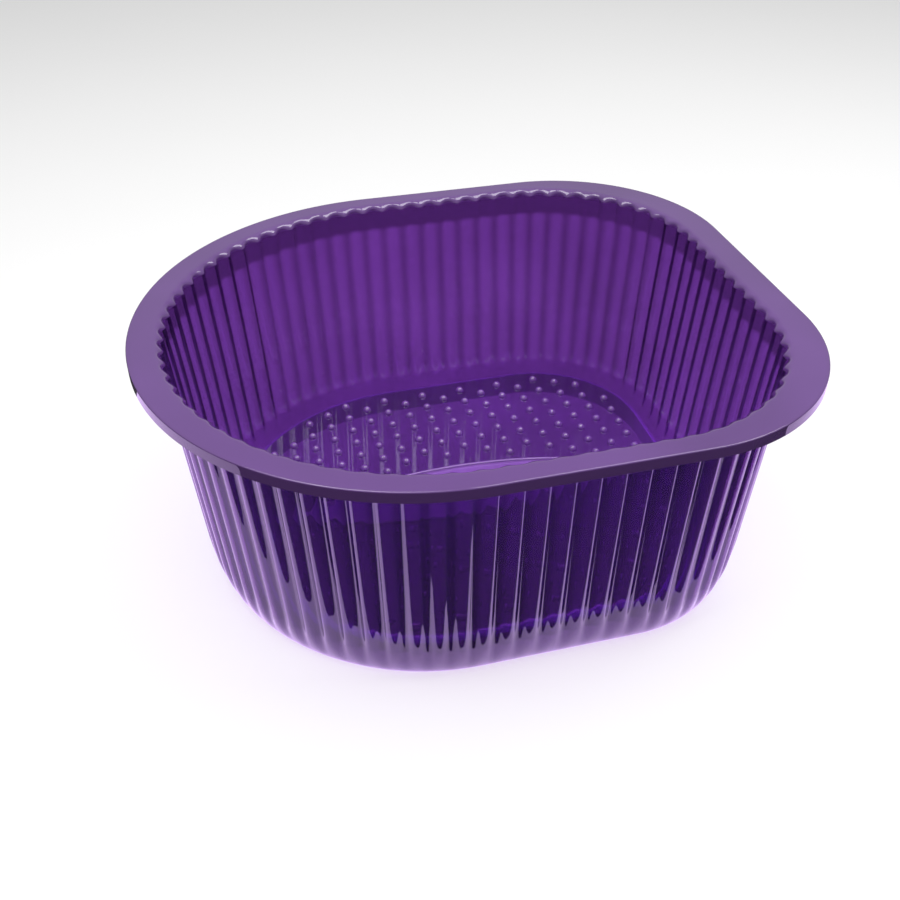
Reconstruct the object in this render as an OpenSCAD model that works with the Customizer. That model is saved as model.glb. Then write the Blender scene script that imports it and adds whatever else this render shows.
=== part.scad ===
// Foot spa basin: one thin moulding, drawn here as its zones.
// Origin: on the surface that the basin rests on, under the middle of the rim.
// +X points to the square end, -X to the round end, +Z is up. Millimetres.

/* [Overall size] */
// Length over the rim, from the round end to the square end
overall_l = 368.3; // [340:0.1:400]
// Width over the rim
overall_w = 317.5; // [300:0.1:340]
// Height from the resting surface to the top of the rim
overall_h = 152.4; // [130:0.1:180]
// Thickness of the moulded sheet
sheet = 1.5; // [1.2:0.1:2]

/* [Rim] */
// Corner radius of the rim's outer edge at the square end
rim_corner_r = 102; // [90:1:110]
// Corner radius of the opening at the square end
opening_corner_r = 96; // [84:1:100]
// Width of the flat flange at the round end
flange_round = 17.5; // [15:0.5:20]
// Width of the flat flange at the square end
flange_square = 19.5; // [16:0.5:22]
// Width of the flat flange along the two sides
flange_side = 14; // [12:0.5:16]
// Height of the lip that turns down at the rim's outer edge
lip_h = 6.4; // [4:0.2:10]

/* [Fluted wall] */
// Inward lean of the wall, in degrees from upright
draft = 5.0; // [4:0.1:7]
// Number of flutes round the basin
flute_count = 80; // [60:2:96]
// Depth of a flute from crest to valley
flute_depth = 2.6; // [1.5:0.1:3.2]
// Height over which a flute fades out at its foot
flute_fade = 8; // [6:1:20]
// Height of the smooth curve between the wall and the base
base_curve_h = 22; // [20:1:44]
// Width of the smooth curve between the wall and the base
base_curve_w = 6; // [4:0.5:14]

/* [Floor] */
// Width of the flat ring that the basin rests on
foot_ring_w = 3.5; // [3.5:0.5:7]
// Height of the raised massage pad above the resting surface
pad_h = 20; // [12:0.5:22]
// Radius of the pad's rounded shoulder
pad_shoulder_r = 5; // [2.5:0.5:5]
// Inward lean of the pad's side over its height
pad_lean = 0.5; // [0.5:0.5:3]
// Radius of the two arcs that bound the smooth centre panel
panel_arc_r = 280; // [200:5:350]
// Half width of the centre panel
panel_half_w = 22; // [14:1:28]
// How far the centre panel lies below the pad
panel_drop = 1; // [0.5:0.1:1.3]
// Width of the bead round the centre panel
bead_w = 2.4; // [1.6:0.2:3]
// Height of the bead above the pad
bead_h = 0.8; // [0.4:0.1:1.2]

/* [Nodules] */
// Radius of a massage nodule, a half ball
nodule_r = 2.8; // [2:0.1:3.4]
// Distance between two columns of nodules, along the basin
nodule_pitch_x = 13.8; // [12:0.1:17]
// Distance between two nodules in one column, across the basin
nodule_pitch_y = 14.4; // [12:0.1:17]
// Smallest distance from a nodule's middle to the flat pad's edge
nodule_margin = 4.5; // [3.5:0.5:10]
// Smallest distance from a nodule's middle to the centre panel's bead
nodule_panel_gap = 5; // [4:0.5:12]

/* [Hidden] */

// Colours of the translucent purple moulding and its reliefs
purple = [0.40, 0.24, 0.60];
deep_purple = [0.27, 0.12, 0.45];
pale_purple = [0.55, 0.42, 0.70];

// An outline is [square end x, round end's centre x, half width, corner radius]
rim_outline = [
    overall_l / 2,
    -overall_l / 2 + overall_w / 2,
    overall_w / 2,
    rim_corner_r
];
opening = [
    overall_l / 2 - flange_square,
    -overall_l / 2 + flange_round + overall_w / 2 - flange_side,
    overall_w / 2 - flange_side,
    opening_corner_r
];

// Points along each kind of outline
SMOOTH_STEPS = 144;
FLUTE_STEPS = 6;
ARC_STEPS = 6;
LENS_STEPS = 32;
RAD = 180 / PI;

flute_steps_all = flute_count * FLUTE_STEPS;
wall_top = overall_h - sheet;

// Lengths of the stretches of half an outline, from the middle of the square end
function end_len(o) = o[2] - o[3];
function corner_len(o) = o[3] * PI / 2;
function side_len(o) = o[0] - o[3] - o[1];
function round_len(o) = o[2] * PI / 2;
function half_len(o) = end_len(o) + corner_len(o) + side_len(o) + round_len(o);

// Place and outward direction [x, y, angle] at distance s along the upper half
function upper_point(o, s) =
    let (
        to_corner = end_len(o),
        to_side = to_corner + corner_len(o),
        to_round = to_side + side_len(o),
        turn = (s - to_corner) / o[3] * RAD,
        sweep = 90 + (s - to_round) / o[2] * RAD
    )
    s < to_corner ? [o[0], s, 0] :
    s < to_side ? [
        o[0] - o[3] + o[3] * cos(turn),
        to_corner + o[3] * sin(turn),
        turn
    ] :
    s < to_round ? [o[0] - o[3] - (s - to_side), o[2], 90] :
    [o[1] + o[2] * cos(sweep), o[2] * sin(sweep), sweep];

// The lower half is the upper half's mirror image in the X axis
function outline_point(o, s) =
    let (p = upper_point(o, abs(s)))
    s < 0 ? [p[0], -p[1], -p[2]] : p;

// A point moved inwards from the outline by inset, at height z
function inset_point(o, s, inset, z) =
    let (p = outline_point(o, s))
    [p[0] - inset * cos(p[2]), p[1] - inset * sin(p[2]), z];

// A closed smooth outline, counted from the middle of the round end
function smooth_ring(o, inset, z) = [
    for (i = [0 : SMOOTH_STEPS - 1])
    inset_point(o, (2 * i / SMOOTH_STEPS - 1) * half_len(o), inset, z)
];

// Inset of the wall's inner face below the opening
function taper(z) = (overall_h - z) * tan(draft);

// Outward bulge of the flutes: rounded crests between narrow valleys
function flute_bulge(i) =
    let (u = (i % FLUTE_STEPS) / FLUTE_STEPS)
    flute_depth * (pow(4 * u * (1 - u), 0.7) - 0.5);

// Strength of the flutes at height z, from none at their foot to full
function flute_strength(z) =
    let (t = min(1, max(0, (z - base_curve_h) / flute_fade)))
    t * t * (3 - 2 * t);

// One row of the fluted wall's steps, from first to last, at height z
function fluted_row(first, last, inset, z) = [
    for (i = [first : last])
    inset_point(
        opening,
        (2 * i / flute_steps_all) * half_len(opening),
        taper(z) + inset - flute_bulge(i + flute_steps_all) * flute_strength(z),
        z
    )
];

// Drop the height of a row of points
function flat(row) = [for (p = row) [p[0], p[1]]];

// Triangles between two rows that start at points a and b
function band(a, b, n, closed, flip) = [
    for (i = [0 : n - (closed ? 1 : 2)])
    let (
        k = (i + 1) % n,
        t1 = [a + i, b + i, b + k],
        t2 = [a + i, b + k, a + k]
    )
    each flip ? [[t1[2], t1[1], t1[0]], [t2[2], t2[1], t2[0]]] : [t1, t2]
];

// Triangles that close an open panel at column c
function end_cap(rows, n, c, flip) = [
    for (j = [0 : rows - 2])
    let (
        o0 = j * n + c,
        o1 = o0 + n,
        i0 = o0 + rows * n,
        i1 = i0 + n,
        t1 = [o0, i0, i1],
        t2 = [o0, i1, o1]
    )
    each flip ? [[t1[2], t1[1], t1[0]], [t2[2], t2[1], t2[0]]] : [t1, t2]
];

// A sheet between an outer and an inner face, each a list of rows from low to high
module sheet_solid(outer, inner, closed) {
    rows = len(outer);
    n = len(outer[0]);
    top = (rows - 1) * n;
    back = rows * n;
    polyhedron(
        points = [each each outer, each each inner],
        faces = [
            for (j = [0 : rows - 2]) each band(j * n, (j + 1) * n, n, closed, false),
            for (j = [0 : rows - 2])
                each band(back + j * n, back + (j + 1) * n, n, closed, true),
            each band(0, back, n, closed, true),
            each band(top, back + top, n, closed, false),
            if (!closed) each end_cap(rows, n, 0, false),
            if (!closed) each end_cap(rows, n, n - 1, true)
        ],
        convexity = 6
    );
}

// Heights of the wall's rows: close together where the flutes fade out
WALL_ROWS = [
    base_curve_h,
    base_curve_h + flute_fade * 0.3,
    base_curve_h + flute_fade * 0.65,
    base_curve_h + flute_fade,
    wall_top
];

// The fluted wall from flute number first to flute number last
module wall_panel(first, last) {
    a = first * FLUTE_STEPS;
    b = last * FLUTE_STEPS;
    color(purple)
    sheet_solid(
        [for (z = WALL_ROWS) fluted_row(a, b, -sheet, z)],
        [for (z = WALL_ROWS) fluted_row(a, b, 0, z)],
        false
    );
}

// Flutes are counted from the middle of the square end, and panels meet in valleys
flute_pitch = 2 * half_len(opening) / flute_count;
end_flutes = ceil((end_len(opening) + corner_len(opening)) / flute_pitch);
side_flutes = floor(side_len(opening) / flute_pitch);
half_flutes = flute_count / 2;

module wall_square_end() {
    wall_panel(-end_flutes, end_flutes);
}

module wall_back() {
    wall_panel(end_flutes, end_flutes + side_flutes);
}

module wall_round_end() {
    wall_panel(end_flutes + side_flutes, flute_count - end_flutes - side_flutes);
}

module wall_front() {
    wall_panel(-end_flutes - side_flutes, -end_flutes);
}

// Flat flange round the opening; its inner edge follows the flutes
module rim_flange() {
    color(pale_purple)
    translate([0, 0, wall_top])
    linear_extrude(sheet)
    difference() {
        polygon(flat(smooth_ring(rim_outline, 0, 0)));
        polygon(flat(fluted_row(-flute_steps_all / 2, flute_steps_all / 2 - 1, 0, wall_top)));
    }
}

// Lip that turns down from the flange's outer edge
module rim_lip() {
    color(deep_purple)
    translate([0, 0, overall_h - lip_h])
    linear_extrude(lip_h - sheet)
    difference() {
        polygon(flat(smooth_ring(rim_outline, 0, 0)));
        polygon(flat(smooth_ring(rim_outline, sheet, 0)));
    }
}

// Row of the base curve at angle phi: 0 at the wall, 90 at the resting surface
function curve_row(phi, inner) =
    let (
        w = base_curve_w - inner,
        h = base_curve_h - inner,
        lean = taper(base_curve_h * (1 - sin(phi))) - sheet
    )
    smooth_ring(opening, lean + inner + w * (1 - cos(phi)), base_curve_h - h * sin(phi));

CURVE_ANGLES = [for (k = [0 : ARC_STEPS]) 90 - 90 * k / ARC_STEPS];

// Smooth elliptical turn from the foot of the wall to the resting surface
module base_curve() {
    color(pale_purple)
    sheet_solid(
        [for (phi = CURVE_ANGLES) curve_row(phi, 0)],
        [for (phi = CURVE_ANGLES) curve_row(phi, sheet)],
        true
    );
}

foot_outer = taper(0) - sheet + base_curve_w;
foot_inner = foot_outer + foot_ring_w;
pad_foot = foot_inner + pad_lean;
pad_edge = pad_foot + pad_shoulder_r;

// Flat ring that the basin rests on
module foot_ring() {
    color(deep_purple)
    linear_extrude(sheet)
    difference() {
        polygon(flat(smooth_ring(opening, foot_outer, 0)));
        polygon(flat(smooth_ring(opening, foot_inner, 0)));
    }
}

// Row of the pad's rounded shoulder at angle phi: 0 at its side, 90 at its top
function shoulder_row(phi, inner) =
    let (r = pad_shoulder_r - inner)
    smooth_ring(
        opening,
        pad_foot + inner + r * (1 - cos(phi)),
        pad_h - pad_shoulder_r + r * sin(phi)
    );

function pad_side_rows(inner) = [
    smooth_ring(opening, foot_inner + inner, 0),
    smooth_ring(opening, foot_inner + inner, sheet),
    for (k = [0 : ARC_STEPS]) shoulder_row(90 * k / ARC_STEPS, inner)
];

// Side and rounded shoulder of the raised pad, hollow underneath
module pad_side() {
    color(purple)
    sheet_solid(pad_side_rows(0), pad_side_rows(sheet), true);
}

// Pointed oval between two arcs of one radius, grown by grow
module lens(grow) {
    r = panel_arc_r + grow;
    drop = panel_arc_r - panel_half_w;
    tip = acos(drop / r);
    polygon([
        for (k = [0 : 2 * LENS_STEPS - 1])
        let (
            upper = k < LENS_STEPS,
            a = (upper ? k : k - LENS_STEPS) / LENS_STEPS * 2 * tip - tip,
            side = upper ? 1 : -1
        )
        [side * r * sin(a), side * (r * cos(a) - drop)]
    ]);
}

// Flat top of the raised pad, with room for the centre panel
module massage_pad() {
    color(purple)
    translate([0, 0, pad_h - sheet])
    linear_extrude(sheet)
    difference() {
        polygon(flat(smooth_ring(opening, pad_edge, 0)));
        lens(bead_w);
    }
}

// Smooth panel between the two feet
module centre_panel() {
    color(pale_purple)
    translate([0, 0, pad_h - sheet - panel_drop])
    linear_extrude(sheet)
    lens(0);
}

// Raised bead that joins the centre panel to the pad
module panel_bead() {
    color(deep_purple)
    translate([0, 0, pad_h - sheet - panel_drop])
    linear_extrude(sheet + panel_drop + bead_h)
    difference() {
        lens(bead_w);
        lens(0);
    }
}

// How far the point [x, y] lies inside the opening's outline
function depth_inside(x, y) =
    let (cx = opening[0] - opening[3], cy = end_len(opening))
    x > cx && abs(y) > cy ? opening[3] - norm([x - cx, abs(y) - cy]) :
    x < opening[1] ? opening[2] - norm([x - opening[1], y]) :
    min(opening[0] - x, opening[2] - abs(y));

// How far the point [x, y] lies outside the centre panel's nearer arc
function beyond_panel(x, y) =
    norm([x, abs(y) + panel_arc_r - panel_half_w]) - panel_arc_r;

NODULE_COLUMNS = ceil(overall_l / nodule_pitch_x / 2);
NODULE_ROWS = ceil(overall_w / nodule_pitch_y / 2);

// Nodules of one foot, in columns that are staggered by half a pitch
module nodule_field(side) {
    for (i = [-NODULE_COLUMNS : NODULE_COLUMNS], j = [0 : NODULE_ROWS]) {
        x = i * nodule_pitch_x;
        y = side * (j + (i % 2 == 0 ? 0.5 : 1)) * nodule_pitch_y;
        on_pad = depth_inside(x, y) > pad_edge + nodule_margin;
        off_panel = beyond_panel(x, y) > bead_w + nodule_panel_gap;
        if (on_pad && off_panel)
            translate([x, y, pad_h])
            rotate_extrude($fn = 24)
            intersection() {
                circle(nodule_r, $fn = 48);
                square(nodule_r);
            }
    }
}

module nodules_back() {
    color(pale_purple) nodule_field(1);
}

module nodules_front() {
    color(pale_purple) nodule_field(-1);
}

rim_flange();
rim_lip();
wall_square_end();
wall_back();
wall_round_end();
wall_front();
base_curve();
foot_ring();
pad_side();
massage_pad();
centre_panel();
panel_bead();
nodules_back();
nodules_front();
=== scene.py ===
# %% [markdown]
# # A foot spa basin
#
# The basin is one thin moulding in see-through purple plastic. A flat rim with a
# turned-down lip runs round the top, the wall below it is fluted like a pie tin, a smooth
# curve leads to the ring that the basin stands on, and the floor inside rises to a pad
# with small round nodules for the soles of the feet.
#
# The CAD frame gives the true sizes and splits the moulding into zones. Here each zone
# gets its finished surface. A surface is worked out with numpy as a whole grid of points,
# because a moulding of even thickness is easy to say as one formula and hard to push
# about by hand.

import bpy
import numpy as np
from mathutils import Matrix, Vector


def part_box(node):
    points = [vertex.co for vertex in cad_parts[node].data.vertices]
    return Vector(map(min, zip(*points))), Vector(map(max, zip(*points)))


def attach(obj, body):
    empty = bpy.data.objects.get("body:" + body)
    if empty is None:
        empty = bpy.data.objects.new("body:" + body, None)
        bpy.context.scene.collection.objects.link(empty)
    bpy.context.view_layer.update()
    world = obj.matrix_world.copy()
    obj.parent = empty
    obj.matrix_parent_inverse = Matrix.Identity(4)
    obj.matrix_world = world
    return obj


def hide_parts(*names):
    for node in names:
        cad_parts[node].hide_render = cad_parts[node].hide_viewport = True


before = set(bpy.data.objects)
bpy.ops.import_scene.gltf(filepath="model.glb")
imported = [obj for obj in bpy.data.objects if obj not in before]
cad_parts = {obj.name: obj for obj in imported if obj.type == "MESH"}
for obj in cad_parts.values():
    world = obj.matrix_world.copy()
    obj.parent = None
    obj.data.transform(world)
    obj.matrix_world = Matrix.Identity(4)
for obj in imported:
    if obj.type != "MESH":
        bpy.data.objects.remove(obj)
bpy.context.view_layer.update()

# %% [markdown]
# ## The sizes, read from the CAD zones
#
# A box round each zone already says most of what there is to know: how big the rim is,
# how thick the sheet is, where the wall ends and how high the pad stands. Reading them
# back keeps the finished surfaces on the CAD design, where typed numbers could drift.

# %% Sizes from the frame, in metres
MM = 0.001
flange_low, flange_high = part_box("rim_flange")
lip_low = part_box("rim_lip")[0]
curve_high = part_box("base_curve")[1]
ring_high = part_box("foot_ring")[1]
side_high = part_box("pad_side")[1]
pad_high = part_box("massage_pad")[1]
nodules_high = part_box("nodules_back")[1]
panel_low, panel_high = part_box("centre_panel")
bead_low, bead_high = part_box("panel_bead")

RIM_TOP = flange_high.z
SHEET = flange_high.z - flange_low.z
LIP_BOTTOM = lip_low.z
WALL_FOOT = curve_high.z
PAD_TOP = pad_high.z
print("sheet", round(SHEET / MM, 2), "mm; pad top at", round(PAD_TOP / MM, 1), "mm")

# Sizes that the boxes don't show, as in the CAD design
RIM_CORNER = 102 * MM
OPENING_CORNER = 96 * MM
FLANGE_ROUND, FLANGE_SQUARE, FLANGE_SIDE = 17.5 * MM, 19.5 * MM, 14 * MM
DRAFT = np.tan(np.radians(5.0))
FLUTES = 80
FLUTE_DEPTH = 2.6 * MM
FLUTE_FADE = 34 * MM
LENS_RADIUS = 280 * MM

# %% [markdown]
# ## The plan shape
#
# Seen from above, the rim and the opening are the same kind of outline: half a circle at
# the heel end, two straight sides, and two rounded corners at the toe end. It could be
# drawn as a Bezier curve. Walking along it by distance is better here, because the flutes
# are spaced evenly along the wall, and because the outward direction comes with the
# place, so that any inset copy is one subtraction.


# %% The outline as a function of distance
class Outline:
    """Half circle, two sides and two quarter-circle corners, walked by distance."""

    def __init__(self, square_x, round_x, half_width, corner):
        self.square_x, self.corner, self.half_width = square_x, corner, half_width
        self.round_centre = round_x + half_width
        self.end = half_width - corner
        self.side = square_x - corner - self.round_centre
        self.marks = np.cumsum([self.end, corner * np.pi / 2, self.side])
        self.half = self.marks[-1] + half_width * np.pi / 2

    def walk(self, share):
        """Place and outward direction at a share of the half length, -1 to 1.

        The upper half is a straight stretch, an arc, a straight stretch and an arc; the
        lower half is its mirror image in the X axis.
        """
        flip = np.sign(share) + (share == 0)
        s = np.abs(share) * self.half
        turn = np.clip((s - self.marks[0]) / self.corner, 0, np.pi / 2)
        sweep = np.clip((s - self.marks[2]) / self.half_width, 0, np.pi)
        angle = turn + sweep
        x = self.square_x - self.corner * (1 - np.cos(turn))
        x = x - np.clip(s - self.marks[1], 0, self.side)
        x = x - self.half_width * np.sin(sweep)
        y = np.clip(s, 0, self.end) + self.corner * np.sin(turn)
        y = y - self.half_width * (1 - np.cos(sweep))
        return np.stack([x, y * flip]), np.stack([np.cos(angle), np.sin(angle) * flip])


rim_outline = Outline(flange_high.x, flange_low.x, flange_high.y, RIM_CORNER)
opening = Outline(
    flange_high.x - FLANGE_SQUARE,
    flange_low.x + FLANGE_ROUND,
    flange_high.y - FLANGE_SIDE,
    OPENING_CORNER,
)
print("flute pitch, mm:", round(2 * opening.half / FLUTES / MM, 2))

# %% [markdown]
# ## From a grid of points to a moulded sheet
#
# Every zone is a sheet with an outer and an inner face, joined at its two edges. Where a
# zone meets the next one, the joining face lies inside the plastic, where nobody could
# see it, so it takes a clear material. The vertex normals come from the formula itself,
# one row beyond the edge, so that light runs across the seam as it does on one moulding.


# %% Build one sheet
def normals_of(grid):
    """Normal of a grid of points: the cross product of its two slopes."""
    across = np.roll(grid, -1, 1) - np.roll(grid, 1, 1)
    along = np.gradient(grid, axis=0)
    n = np.cross(across, along)
    return n / np.maximum(np.linalg.norm(n, axis=2, keepdims=True), 1e-12)


def grid_faces(rows, cols, start, flip):
    """Quads of a closed band of rows and columns, wound outwards."""
    i = np.arange(cols)
    k = (i + 1) % cols
    j = np.arange(rows - 1)[:, None] * cols + start
    quads = np.stack([j + i, j + k, j + k + cols, j + i + cols], -1).reshape(-1, 4)
    return quads[:, ::-1] if flip else quads


def make_mesh(name, points, faces, normals=None, material_index=None, depth=None):
    """One mesh object at the origin from arrays of points and quads."""
    mesh = bpy.data.meshes.new(name)
    mesh.from_pydata(points.tolist(), [], faces.tolist())
    mesh.polygons.foreach_set("use_smooth", np.ones(len(faces), bool))
    if material_index is not None:
        mesh.polygons.foreach_set("material_index", material_index.astype(np.int32))
    if depth is not None:
        # This attribute carries painted shade and painted highlight for the dye, not the plastic's
        # thickness.
        thick = mesh.attributes.new("painted_shade_and_highlight", "FLOAT", "POINT")
        thick.data.foreach_set("value", depth)
    if normals is not None:
        mesh.normals_split_custom_set_from_vertices(normals.tolist())
    piece = bpy.data.objects.new(name, mesh)
    bpy.context.scene.collection.objects.link(piece)
    print(name, len(points), "points,", len(faces), "faces")
    return piece


def sheet_piece(name, outer, inner, hidden_first=True, depth=None):
    """A closed ring of sheet; the grids hold one row more at each end for the normals.

    Rows run upwards on the outer face, columns run anticlockwise seen from above.
    """
    outer_n, inner_n = normals_of(outer)[1:-1], -normals_of(inner)[1:-1]
    outer, inner = outer[1:-1], inner[1:-1]
    rows, cols = outer.shape[:2]
    size = rows * cols
    points = np.concatenate([outer.reshape(-1, 3), inner.reshape(-1, 3)])
    normals = np.concatenate([outer_n.reshape(-1, 3), inner_n.reshape(-1, 3)])
    i = np.arange(cols)
    k = (i + 1) % cols
    top = size - cols
    first = np.stack([k, i, i + size, k + size], -1)
    last = np.stack([i + top, k + top, k + top + size, i + top + size], -1)
    skins = [grid_faces(rows, cols, 0, False), grid_faces(rows, cols, size, True)]
    faces = np.concatenate([*skins, first, last])
    index = np.zeros(len(faces))
    index[-2 * cols : -cols] = hidden_first
    index[-cols:] = 1
    if depth is not None:
        depth = np.tile(depth[1:-1].ravel(), 2)
    return make_mesh(name, points, faces, normals, index, depth)


# %% [markdown]
# ## Shader maths as plain expressions
#
# A procedural finish is arithmetic on noise. Wiring Math nodes by hand hides the sum that
# they stand for, so a small class wraps a socket: adding or multiplying two of them adds
# the node, and the finish then reads like the formula it is.


# %% A socket that can be added and multiplied
class Shader:
    """The node tree of one material, or of the world."""

    def __init__(self, name, owner=None):
        self.material = owner or bpy.data.materials.new(name)
        self.material.use_nodes = True
        self.tree = self.material.node_tree
        self.tree.nodes.clear()

    def node(self, kind, settings=None, **inputs):
        """Adds a node: settings first, then a value or a link for each named socket."""
        made = self.tree.nodes.new("ShaderNode" + kind)
        for key, value in (settings or {}).items():
            setattr(made, key, value)
        for key, value in inputs.items():
            socket = made.inputs[int(key[1:]) if key[1:].isdigit() else key.replace("_", " ")]
            if isinstance(value, Term):
                self.tree.links.new(value.socket, socket)
            else:
                socket.default_value = value
        return made

    def term(self, kind, output, settings=None, **inputs):
        """The same, giving one output to go on with."""
        return Term(self, self.node(kind, settings, **inputs).outputs[output])


class Term:
    """A socket with arithmetic."""

    def __init__(self, shader, socket):
        self.shader, self.socket = shader, socket

    def math(self, operation, a, b):
        return self.shader.term("Math", 0, {"operation": operation}, _0=a, _1=b)

    def __add__(self, other):
        return self.math("ADD", self, other)

    def __mul__(self, other):
        return self.math("MULTIPLY", self, other)

    def __sub__(self, other):
        return self.math("SUBTRACT", self, other)

    def __rsub__(self, other):
        return self.math("SUBTRACT", other, self)

    __radd__, __rmul__ = __add__, __mul__


# %% [markdown]
# ## The purple plastic
#
# The real plastic is a clear polymer with a violet dye, moulded against polished steel.
# It could be faked with a mix of a gloss and a see-through shader. A true transmission
# is used instead, because almost everything that one sees of this basin is light that
# has come through one wall or two: one sheet looks bright violet, two look nearly black.
# Slow changes of thickness cloud the colour a little, fine scuffs dull the gloss, and
# the faint ripple of the moulding bends its reflections. On some zones the dye also
# carries painted shade and painted highlights.


# %% The plastic's recipe
LAMP_TINT = (0.975, 0.945, 0.99, 1.0)


def purple_plastic(name, colour, clear=0.95, ripple=0.05, with_painted_shading=False, shades=(0.55, 1.35)):
    """Dyed polymer: cloudy dye, faintly scuffed gloss and a slow moulding ripple; on request an
    attribute darkens or lightens the dye as painted shade and painted highlight.

    Lamp light goes through with a tint, so that the floor below isn't left black.
    """
    s = Shader(name)
    place = s.term("TexCoord", "Object")
    cloud = s.term("TexNoise", 0, Vector=place, Scale=11.0, Detail=2.0, Roughness=0.5)
    scuff = s.term("TexNoise", 0, Vector=place, Scale=30.0, Detail=2.0, Roughness=0.6)
    waves = s.term("TexNoise", 0, Vector=place, Scale=24.0, Detail=1.0, Roughness=0.4)
    # Painted shade and painted highlight: the attribute pushes the dye towards its dark or light end.
    if with_painted_shading:
        depth = s.term("Attribute", "Fac", {"attribute_name": "painted_shade_and_highlight"})
        cloud = cloud * 0.5 + 0.25 - depth
    dark, light = ([min(1, c * shade) for c in colour] + [1] for shade in shades)
    dye = s.term("Mix", 2, {"data_type": "RGBA"}, _0=cloud, _6=dark, _7=light)
    dull = 0.03 + (scuff - 0.5) * 0.03
    bump = s.term("Bump", "Normal", Strength=ripple, Distance=0.001, Height=waves)
    body = s.node(
        "BsdfPrincipled",
        None,
        Base_Color=dye,
        Roughness=dull,
        Normal=bump,
        IOR=1.49,
        Transmission_Weight=clear,
        Coat_Weight=1.0,
        Coat_Roughness=0.02,
    )
    lamp_light = s.node("BsdfTransparent", None, Color=LAMP_TINT)
    ray = s.term("LightPath", "Is Shadow Ray")
    both = s.node("MixShader", None, _0=ray)
    s.tree.links.new(body.outputs[0], both.inputs[1])
    s.tree.links.new(lamp_light.outputs[0], both.inputs[2])
    out = s.node("OutputMaterial")
    s.tree.links.new(both.outputs[0], out.inputs["Surface"])
    return s.material


def clear_seam():
    """Joining faces inside the plastic: nothing to see, with a whisper of dye."""
    s = Shader("seam_inside_the_plastic")
    place = s.term("TexCoord", "Object")
    grain = s.term("TexNoise", 0, Vector=place, Scale=20.0)
    body = s.node("BsdfPrincipled", None, Base_Color=(1, 1, 1, 1), Alpha=0.0)
    s.tree.links.new((0.2 + grain * 0.1).socket, body.inputs["Roughness"])
    out = s.node("OutputMaterial")
    s.tree.links.new(body.outputs[0], out.inputs["Surface"])
    return s.material


DYE = (0.155, 0.038, 0.320)
# Painted sheen: a paler, greyer copy of the one dye for the rim, centre panel and nodules, which
# catch more light than the wall.
PAINTED_SHEEN_DYE = (0.170, 0.068, 0.300)
plastic = {
    "flange_purple": purple_plastic(
        "flange_purple", PAINTED_SHEEN_DYE, clear=0.15, ripple=0.03, with_painted_shading=True, shades=(0.42, 1.30)
    ),
    "wall_purple": purple_plastic(
        "wall_purple", DYE, clear=0.94, with_painted_shading=True, shades=(0.40, 1.35)
    ),
    "base_purple": purple_plastic("base_purple", DYE, clear=0.75),
    "pad_purple": purple_plastic(
        "pad_purple", DYE, clear=0.80, with_painted_shading=True, shades=(0.75, 2.60)
    ),
    "panel_purple": purple_plastic("panel_purple", PAINTED_SHEEN_DYE, clear=0.35, shades=(1.2, 2.4)),
    "nodule_purple": purple_plastic(
        "nodule_purple", PAINTED_SHEEN_DYE, clear=0.50, ripple=0.02, shades=(1.0, 2.2)
    ),
}
seam = clear_seam()


def finish_piece(piece, slot, *nodes, finish=None):
    """Gives a piece its plastic and its body, and hides the CAD zones that it stands for."""
    piece.data.materials.append(plastic[finish or slot])
    piece.data.materials.append(seam)
    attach(piece, "root")
    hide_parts(*nodes)
    return piece


# %% [markdown]
# ## The flutes
#
# A flute stiffens the thin wall and gives the basin its look. Each one bulges outwards
# between two narrow valleys and fades out over the curve below. A wave would be the quick
# way to draw them, but a wave has valleys as wide as its crests. Here the height is one
# minus a power of the sine of the distance from the flute's middle line. The power, being
# above two, flattens the crest and narrows the valley.

# %% Flute relief
STEPS_PER_FLUTE = 16
COLUMNS = FLUTES * STEPS_PER_FLUTE
share = np.arange(COLUMNS) / COLUMNS * 2 - 1
CREST_POWER = 2.6
VALLEY_SHARE = 0.55
# Painted shade darkens the dye in the valleys, and a painted shadow of the flange darkens a band
# under the rim.
VALLEY_PAINTED_SHADE, BAND_PAINTED_SHADOW = 0.34, 0.8
TOP_BAND, BAND_EDGE = 18 * MM, 4 * MM


def flute_dome(z):
    """Flutes from 0 at a valley to 1 at a crest, and how much of them is left at z.

    The dome is one minus a power of the sine of the distance from the crest. The fading
    is the smooth step three t squared minus two t cubed.
    """
    u = (np.arange(COLUMNS) % STEPS_PER_FLUTE) / STEPS_PER_FLUTE * 2 - 1
    dome = 1 - np.abs(np.sin(u * np.pi / 2)) ** CREST_POWER
    t = np.clip(np.atleast_1d(z)[:, None] / FLUTE_FADE, 0, 1)
    return dome[None], t * t * (3 - 2 * t)


def flute_relief(z):
    """Outward bulge at each column for heights z; its valleys go inwards by VALLEY_SHARE."""
    dome, left = flute_dome(z)
    return FLUTE_DEPTH * (dome - VALLEY_SHARE) * left


def wall_painted_shade(z):
    """Painted shade: darker dye in the flutes' valleys, and a painted shadow of the flange in a band
    under the rim.
    """
    dome, left = flute_dome(z)
    band = np.clip((np.atleast_1d(z)[:, None] - (RIM_TOP - TOP_BAND)) / BAND_EDGE, 0, 1)
    return np.maximum((1 - dome) ** 2 * left * VALLEY_PAINTED_SHADE, band * BAND_PAINTED_SHADOW)


def inset_rows(outline, insets, heights):
    """Rows of points moved inwards from an outline; insets may differ by column."""
    place, outward = outline.walk(share)
    insets = np.broadcast_to(insets, (len(heights), COLUMNS))
    x = place[0] - insets * outward[0]
    y = place[1] - insets * outward[1]
    z = np.broadcast_to(np.asarray(heights)[:, None], insets.shape)
    return np.stack([x, y, z], -1)


def wall_inset(z):
    """Inset of the wall's inner face: it leans in by the draft as it goes down."""
    return (RIM_TOP - np.atleast_1d(z)[:, None]) * DRAFT
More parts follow.
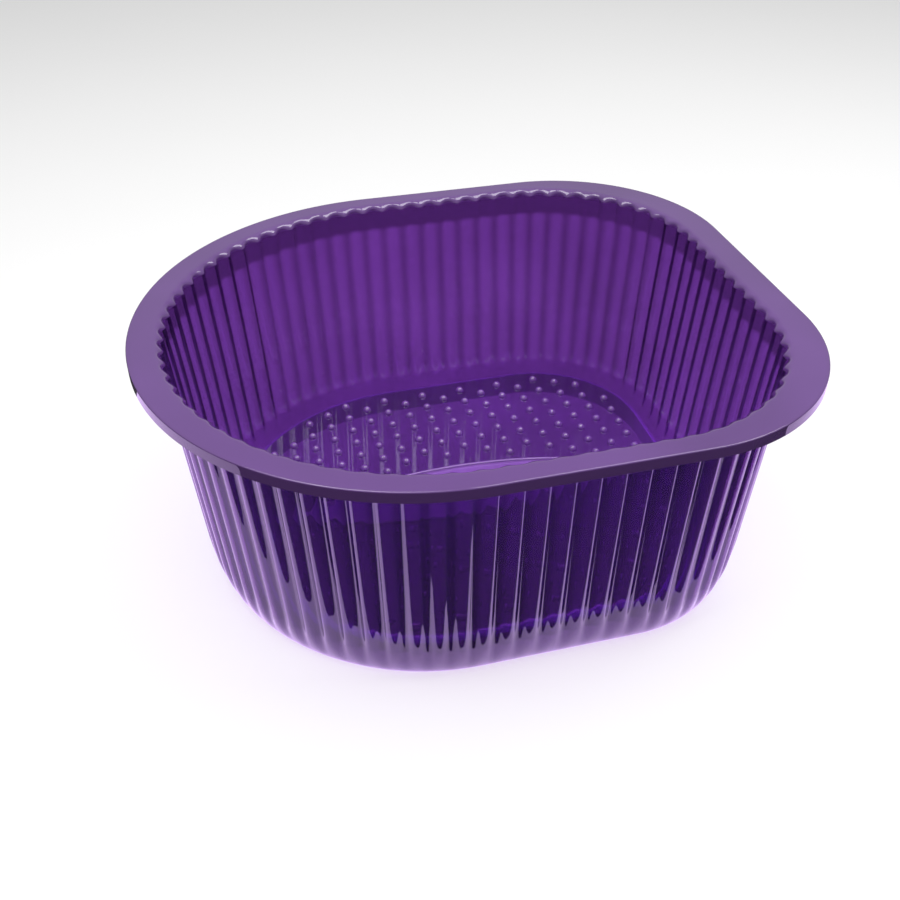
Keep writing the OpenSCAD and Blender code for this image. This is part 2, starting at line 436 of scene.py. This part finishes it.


# %% [markdown]
# ## The fluted wall
#
# The four wall zones of the CAD design are one unbroken wall on the basin, so they are
# drawn as one ring. The rows crowd together low down, where the flutes fade, and in the
# band under the rim that carries the flange's painted shadow, and are few in the
# straight part between.

# %% Fluted wall
EDGE_ROUND = 3.6 * MM
wall_top = RIM_TOP - EDGE_ROUND
foot_rows = np.linspace(WALL_FOOT, FLUTE_FADE, 7)
band_rows = RIM_TOP - TOP_BAND + BAND_EDGE * np.array([0.0, 0.4, 0.7, 1.0])
straight_rows = np.linspace(foot_rows[-1], band_rows[0], 6)[1:-1]
upper_rows = np.concatenate([straight_rows, band_rows, [wall_top]])
heights = np.concatenate([foot_rows, upper_rows])
past_ends = np.concatenate([[heights[0] - MM], heights, [heights[-1] + MM]])
relief = flute_relief(past_ends)
inner_inset = wall_inset(past_ends) - relief
wall = sheet_piece(
    "fluted_wall",
    inset_rows(opening, inner_inset - SHEET, past_ends),
    inset_rows(opening, inner_inset, past_ends),
    depth=wall_painted_shade(past_ends),
)
wall_zones = ["wall_square_end", "wall_back", "wall_round_end", "wall_front"]
finish_piece(wall, "wall_purple", *wall_zones)

# %% [markdown]
# ## The rim
#
# The rim is what one lifts the basin by. It is a flat flange whose outer edge turns down
# into a short lip, so that it doesn't cut the hands, and whose inner edge rolls over
# into every flute. A Bevel modifier could round the edges of a flat ring, but it can't
# follow the flutes. So the rim is one profile, carried round the basin: up the lip, over
# the edge, across the flange and down into the wall.


# %% Rim
OUTER_ROUND = 0.8 * MM
LEAST_ROUND = 0.05 * MM
LIP_ROWS, ARC_ROWS = 4, 7
FLUTING_ON_FLANGE = 0.15
# Painted shade: the lip's dye is darkened from just under the outer round downwards.
LIP_SHADE_PAINT, LIP_START = 0.75, 0.3


def rim_rows(thick):
    """The rim's profile at a depth below its skin, carried round both outlines.

    Each row is (share of the way from the rim's outline to the wall, inset from the
    nearer one, height). The outer edge and the inner roll are quarter circles.
    """
    corner = max(OUTER_ROUND, thick + LEAST_ROUND)
    outer_r = corner - thick
    roll_r = EDGE_ROUND - thick
    arc = np.linspace(0, np.pi / 2, ARC_ROWS)
    lip_z = np.linspace(LIP_BOTTOM, RIM_TOP - corner, LIP_ROWS)
    rows = [(0, thick, z) for z in [LIP_BOTTOM - MM, *lip_z]]
    rows += [
        (0, corner - outer_r * np.cos(a), RIM_TOP - corner + outer_r * np.sin(a))
        for a in arc[1:]
    ]
    flat_z = RIM_TOP - thick
    rows += [(w, 0, flat_z) for w in np.linspace(0, 1, 8)[1:-1]]
    rows += [
        (1, -EDGE_ROUND + roll_r * np.sin(a), RIM_TOP - EDGE_ROUND + roll_r * np.cos(a))
        for a in arc
    ]
    rows += [(1, -thick, wall_top - MM)]
    return np.array(rows)


def carry_rim(thick):
    """Places the profile's rows between the rim's outline and the fluted wall.

    The flutes' share of the edge grows from a seventh on the flange to all at the wall.
    """
    rim_place, rim_out = rim_outline.walk(share)
    place, out = opening.walk(share)
    relief_top = flute_relief(wall_top)[0]
    lean = wall_inset(wall_top)[0]
    rows = rim_rows(thick)
    rim_corner = max(OUTER_ROUND, thick + LEAST_ROUND)
    turned = np.clip((RIM_TOP - thick - rows[:, 2]) / (EDGE_ROUND - thick), 0, 1)
    grid = []
    for (toward_wall, inset, z), down in zip(rows, turned):
        at_rim = rim_place - rim_out * (rim_corner if toward_wall else inset)
        roll = -EDGE_ROUND if 0 < toward_wall < 1 else (inset if toward_wall else 0)
        grown = FLUTING_ON_FLANGE + (1 - FLUTING_ON_FLANGE) * down
        fluting = relief_top * grown - lean
        at_wall = place + out * (fluting - roll)
        x, y = at_rim * (1 - toward_wall) + at_wall * toward_wall
        grid.append(np.stack([x, y, np.full(COLUMNS, z)], -1))
    return np.array(grid)


def lip_painted_shade(rows):
    """Painted shade on the lip's outer face, which gets little light from the front."""
    below = (RIM_TOP - OUTER_ROUND * LIP_START - rows[:, :, 2]) / OUTER_ROUND
    outside = np.arange(len(rows))[:, None] < LIP_ROWS + ARC_ROWS - 1
    return np.clip(below, 0, 1) * outside * LIP_SHADE_PAINT


rim_skin, rim_under = carry_rim(0.0), carry_rim(SHEET)
rim = sheet_piece("rim", rim_skin, rim_under, hidden_first=False, depth=lip_painted_shade(rim_skin))
finish_piece(rim, "flange_purple", "rim_flange", "rim_lip")

# %% [markdown]
# ## The base
#
# At its foot the wall turns under in a smooth curve, a quarter of an ellipse, and ends in
# the narrow flat ring that the basin stands on. The flutes run on over the curve and fade
# to nothing at the ring. The two are one surface here,
# because a crease between them would catch the light where the real one has none.

# %% Base curve and foot ring
curve_h = WALL_FOOT
foot_outer = opening.square_x - ring_high.x
foot_inner = opening.square_x - side_high.x
curve_w = foot_outer - (wall_inset(0)[0, 0] - SHEET)


def base_rows(thick):
    """A quarter ellipse from the ring up to the wall, after the flat ring itself."""
    angle = np.radians(np.linspace(90, 0, 19))
    lean = wall_inset(curve_h * (1 - np.sin(angle)))[:, 0] - SHEET
    insets = lean + thick + (curve_w - thick) * (1 - np.cos(angle))
    z = curve_h - (curve_h - thick) * np.sin(angle)
    flat = np.linspace(foot_inner + MM, foot_outer, 5)[:-1]
    insets = np.concatenate([flat, insets, [insets[-1] - MM * DRAFT]])
    z = np.concatenate([np.full(4, thick), z, [curve_h + MM]])
    rise = (z - thick) * curve_h / (curve_h - thick)
    return inset_rows(opening, insets[:, None] - flute_relief(rise), z)


base = sheet_piece("base_curve_and_ring", base_rows(0.0), base_rows(SHEET))
finish_piece(base, "base_purple", "base_curve", "foot_ring")

# %% [markdown]
# ## The raised pad
#
# The middle of the floor is pushed up into a pad, hollow underneath, so that the feet
# stand above the dirt that settles in the gutter round it. It could be a solid block,
# but one would see through it. The sheet goes up the side, over a rounded shoulder and
# across the flat top to the edge of the centre panel.


# %% The centre panel's pointed oval
def lens_edge(grow):
    """Two arcs of one radius that meet in points at both ends, grown outwards."""
    radius = LENS_RADIUS + grow
    drop = LENS_RADIUS - (panel_high.y - panel_low.y) / 2
    tip = np.arccos(drop / radius)
    angle = tip * (1 - 2 * np.abs(share))
    side = np.sign(share) + (share == 0)
    return np.stack([radius * np.sin(angle), side * (radius * np.cos(angle) - drop)])


BEAD_W = bead_high.y - panel_high.y
SHOULDER = 5 * MM
SIDE_ROWS, SHOULDER_ROWS = 6, 8
# Painted highlight along the pad's rounded shoulder; the flat top is held darker.
SHOULDER_PAINTED_HIGHLIGHT, PAD_FLAT_DARKENING = -0.3, 0.5
pad_foot = opening.square_x - pad_high.x - SHOULDER


# %% Pad side, shoulder and top
def pad_rows(thick):
    """Up the side, over a quarter-circle shoulder, then flat to the panel's edge."""
    arc = np.linspace(0, np.pi / 2, SHOULDER_ROWS)
    r = SHOULDER - thick
    side_z = np.linspace(0, PAD_TOP - SHOULDER, SIDE_ROWS)
    lean = np.linspace(0, 1, SIDE_ROWS) * (pad_foot - foot_inner)
    over = pad_foot + SHOULDER - r * np.cos(arc[1:])
    insets = np.concatenate([[foot_inner], foot_inner + lean, over])
    insets = insets + np.where(np.arange(len(insets)) < SIDE_ROWS + 1, thick, 0)
    z = np.concatenate([[-MM], side_z, PAD_TOP - SHOULDER + r * np.sin(arc[1:])])
    return inset_rows(opening, insets[:, None], z)


def pad_top_rows(edge_row, thick):
    """Straight lines from the shoulder to the panel's edge, at one height."""
    border = lens_edge(BEAD_W)
    ways = np.linspace(0, 1, 10)[1:]
    x = edge_row[:, 0] * (1 - ways[:, None]) + border[0] * ways[:, None]
    y = edge_row[:, 1] * (1 - ways[:, None]) + border[1] * ways[:, None]
    top = np.stack([x, y, np.full(x.shape, PAD_TOP - thick)], -1)
    return np.concatenate([top, top[-1:] * 2 - top[-2:-1]])


pad_skins = []
for thick in (0.0, SHEET):
    side_rows = pad_rows(thick)
    pad_skins.append(np.concatenate([side_rows, pad_top_rows(side_rows[-1], thick)]))
row = np.arange(len(pad_skins[0]))
on_shoulder = (row > SIDE_ROWS + 1) & (row < SIDE_ROWS + SHOULDER_ROWS - 1)
pad_painted_light = np.where(on_shoulder, SHOULDER_PAINTED_HIGHLIGHT, PAD_FLAT_DARKENING)[:, None] * np.ones(COLUMNS)
pad = sheet_piece("massage_pad_shell", pad_skins[0], pad_skins[1], depth=pad_painted_light)
finish_piece(pad, "pad_purple", "pad_side", "massage_pad")

# %% [markdown]
# ## The centre panel and its bead
#
# Between the two feet lies a smooth pointed oval, a touch lower than the pad, with a
# raised bead round it. The panel is a stack of shrinking copies of its own edge, closed
# along its middle line, with a slight crown. The bead is half an ellipse carried round.


# %% Centre panel
def panel_rows(z_level, crown):
    """The oval's edge shrunk towards its middle line, rising by the crown."""
    border = lens_edge(0.0)
    ways = np.linspace(1, 0, 9)
    x = np.broadcast_to(border[0], (9, COLUMNS))
    y = border[1] * ways[:, None]
    z = z_level + crown * (1 - ways[:, None] ** 2) * np.ones(COLUMNS)
    grid = np.stack([x, y, z], -1)
    return np.concatenate([grid[:1] * 2 - grid[1:2], grid, grid[-1:]])


PANEL_CROWN = 0.3 * MM
panel = sheet_piece(
    "centre_panel_sheet",
    panel_rows(panel_high.z, PANEL_CROWN),
    panel_rows(panel_low.z, PANEL_CROWN),
)
finish_piece(panel, "pad_purple", "centre_panel", finish="panel_purple")


# %% Bead round the panel
def bead_rows(bottom):
    """Across the bead: a half ellipse on top, flat below."""
    angle = np.linspace(0, np.pi, 11)
    grid = []
    for a in angle:
        border = lens_edge(BEAD_W * (1 + np.cos(a)) / 2)
        rise = 0.0 if bottom else (bead_high.z - panel_high.z) * np.sin(a) ** 0.7
        z = bead_low.z if bottom else panel_high.z + rise
        grid.append(np.stack([*border, np.full(COLUMNS, z)], -1))
    grid = np.array(grid)
    return np.concatenate([grid[:1] * 2 - grid[1:2], grid, grid[-1:] * 2 - grid[-2:-1]])


bead = sheet_piece("panel_bead_ridge", bead_rows(False), bead_rows(True))
finish_piece(bead, "pad_purple", "panel_bead", finish="panel_purple")

# %% [markdown]
# ## The nodules
#
# The nodules press on the soles. There are many, so each is a small dome of a few dozen
# faces, and one array sum puts them all in place. Their middles are read back from the
# CAD nodules, each from its topmost point, so the two always agree.


# %% Nodules
def nodule_middles(node):
    """Middle of each half ball in a CAD node: its topmost point."""
    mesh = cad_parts[node].data
    co = np.zeros(len(mesh.vertices) * 3)
    mesh.vertices.foreach_get("co", co)
    co = co.reshape(-1, 3)
    top = co[co[:, 2] > co[:, 2].max() - SAME_HEIGHT]
    return np.unique(np.round(top[:, :2] / MM, 1), axis=0) * MM


DOME_R = nodules_high.z - PAD_TOP
DOME_SIDES, DOME_RINGS = 14, 5
FLARE, FLARE_FALL, TIP = 0.12, 8, 0.02
SAME_HEIGHT = 0.02 * MM


def dome_grid():
    """A half ball with a slightly flared skirt where it grows out of the pad."""
    a = np.linspace(0, np.pi / 2, DOME_RINGS)
    radius = DOME_R * (np.cos(a) + FLARE * np.exp(-a * FLARE_FALL))
    radius[-1] = TIP * DOME_R
    around = np.arange(DOME_SIDES) / DOME_SIDES * 2 * np.pi
    x = radius[:, None] * np.cos(around)
    y = radius[:, None] * np.sin(around)
    z = DOME_R * np.sin(a)[:, None] * np.ones(DOME_SIDES)
    return np.stack([x, y, z], -1)


def nodule_piece(name, node):
    """All nodules of one foot: the dome repeated at each middle."""
    dome = dome_grid().reshape(-1, 3)
    quads = grid_faces(DOME_RINGS, DOME_SIDES, 0, False)
    middles = nodule_middles(node)
    lift = np.c_[middles, np.full(len(middles), PAD_TOP)]
    points = (dome[None] + lift[:, None]).reshape(-1, 3)
    offsets = np.arange(len(middles))[:, None, None] * len(dome)
    faces = (quads[None] + offsets).reshape(-1, 4)
    ring = np.arange(DOME_SIDES)
    top_start = (DOME_RINGS - 1) * DOME_SIDES
    half = DOME_SIDES // 2
    caps = []
    for start, flip in ((0, True), (top_start, False)):
        a = ring[: half - 1] + start
        far = start + DOME_SIDES - 1 - ring[: half - 1]
        cap = np.stack([a, a + 1, far - 1, far], -1)
        cap = cap[:, ::-1] if flip else cap
        caps.append((cap[None] + offsets).reshape(-1, 4))
    index = np.concatenate([np.zeros(len(faces)), np.ones(len(caps[0])), np.zeros(len(caps[1]))])
    faces = np.concatenate([faces, *caps])
    piece = make_mesh(name, points, faces, None, index)
    print(len(middles), "nodules")
    return finish_piece(piece, "nodule_purple", node)


nodule_piece("nodules_back_foot", "nodules_back")
nodule_piece("nodules_front_foot", "nodules_front")

# %% [markdown]
# ## Floor, light and camera
#
# The basin stands on a plain pale floor. See-through plastic shows what is behind it, so
# the floor and the light decide its colour as much as the dye does: a bright floor all
# round and two large soft panels above. The floor is kept out of reflections, so that the
# outside wall stays dark between its highlights.


# %% Floor
FLOOR_HALF, FLOOR_GAP = 6.0, 0.2 * MM


def pale_floor():
    """A flat square of matt white card with a barely visible mottle."""
    half = FLOOR_HALF
    corners = np.array([[-half, -half, 0], [half, -half, 0], [half, half, 0], [-half, half, 0]])
    corners[:, 2] -= FLOOR_GAP
    floor = make_mesh("pale_floor", corners, np.array([[0, 1, 2, 3]]))
    s = Shader("pale_card")
    place = s.term("TexCoord", "Object")
    mottle = s.term("TexNoise", 0, Vector=place, Scale=3.0)
    colour = s.term(
        "Mix", 2, {"data_type": "RGBA"}, _0=mottle, _6=(0.95, 0.95, 0.95, 1), _7=(0.97, 0.97, 0.97, 1)
    )
    body = s.node("BsdfPrincipled", None, Base_Color=colour, Roughness=0.9)
    out = s.node("OutputMaterial")
    s.tree.links.new(body.outputs[0], out.inputs["Surface"])
    floor.data.materials.append(s.material)
    floor.visible_glossy = False


pale_floor()


# %% Lights
def soft_panel(name, place, aim, width, depth, power):
    """A lamp panel at a place, turned to face a point."""
    lamp = bpy.data.lights.new(name, "AREA")
    lamp.shape, lamp.size, lamp.size_y, lamp.energy = "RECTANGLE", width, depth, power
    lamp_object = bpy.data.objects.new(name, lamp)
    bpy.context.scene.collection.objects.link(lamp_object)
    lamp_object.location = place
    toward = Vector(aim) - Vector(place)
    lamp_object.rotation_euler = toward.to_track_quat("-Z", "Y").to_euler()


soft_panel("left_panel", (-0.45, -0.1, 1.4), (0, 0, 0), 0.7, 1.0, 9)
soft_panel("right_panel", (0.65, -0.1, 1.35), (0, 0, 0), 0.7, 1.0, 9)


# %% [markdown]
# ## The low light
#
# A glossy wall mirrors the lit table top that it stands on. A flat lamp that lies on the
# floor and runs on under the basin stands in for such a table. It gives the flutes their
# pale streaks and the base its pale band. Nothing but gloss sees it: a bright floor would
# do the same in one go, but it would also mirror in the middle of the wall.


# %% A low lamp at floor level
LOW_SIZE, LOW_TURN = (1.2, 0.304), np.radians(-5)
LOW_POWER, LAVENDER = 1.5, (0.76, 0.54, 1.0)


def low_lamp():
    """A flat rectangular lamp that faces up: it reaches the gloss and nothing else."""
    lamp = bpy.data.lights.new("low_lamp", "AREA")
    lamp.shape = "RECTANGLE"
    lamp.size, lamp.size_y = LOW_SIZE
    lamp.energy, lamp.color = LOW_POWER, LAVENDER
    lamp.cycles.max_bounces = 0
    thing = bpy.data.objects.new("low_lamp", lamp)
    bpy.context.scene.collection.objects.link(thing)
    thing.location = (0, 0, -FLOOR_GAP / 2)
    thing.rotation_euler = (np.pi, 0, LOW_TURN)
    thing.visible_camera = thing.visible_diffuse = thing.visible_transmission = False


low_lamp()


# %% The studio's surroundings
DARK, PALE, OVERHEAD, BACKDROP = 0.05, 0.45, 0.30, 0.9


def studio_world():
    """Brightness by height: dark below, pale above the horizon, brightest overhead.

    The camera itself sees one even pale backdrop.
    """
    world = bpy.data.worlds.new("studio")
    s = Shader("studio", world)
    way = s.term("TexCoord", "Generated")
    z = s.term("SeparateXYZ", 2, Vector=way)
    smooth = {"interpolation_type": "SMOOTHSTEP"}
    up = s.term("MapRange", 0, smooth, Value=z, From_Min=-0.03, From_Max=0.03)
    top = s.term("MapRange", 0, smooth, Value=z, From_Min=0.62, From_Max=0.80)
    seen = s.term("LightPath", "Is Camera Ray")
    level = (up * PALE + top * OVERHEAD + DARK) * (1 - seen) + BACKDROP * seen
    sky = s.node("Background", None, Strength=level)
    out = s.node("OutputWorld")
    s.tree.links.new(sky.outputs[0], out.inputs["Surface"])
    bpy.context.scene.world = world


studio_world()
bpy.context.scene.view_settings.view_transform = "Standard"

# %% Camera
CAMERA_DISTANCE = 0.6582
CAMERA_AZIMUTH, CAMERA_ELEVATION = np.radians(-14.82), np.radians(35.41)
target = np.array([0, 0, RIM_TOP / 2])
back = np.array(
    [
        np.sin(CAMERA_AZIMUTH) * np.cos(CAMERA_ELEVATION),
        -np.cos(CAMERA_AZIMUTH) * np.cos(CAMERA_ELEVATION),
        np.sin(CAMERA_ELEVATION),
    ]
)
lens = bpy.data.cameras.new("camera")
lens.sensor_width, lens.lens = 36, 43.43
lens.shift_x, lens.shift_y = -0.0121, -0.0372
lens.clip_start, lens.clip_end = 0.01, 50
camera = bpy.data.objects.new("camera", lens)
bpy.context.scene.collection.objects.link(camera)
camera.location = target + back * CAMERA_DISTANCE
camera.rotation_euler = (-Vector(back)).to_track_quat("-Z", "Y").to_euler()
bpy.context.scene.camera = camera
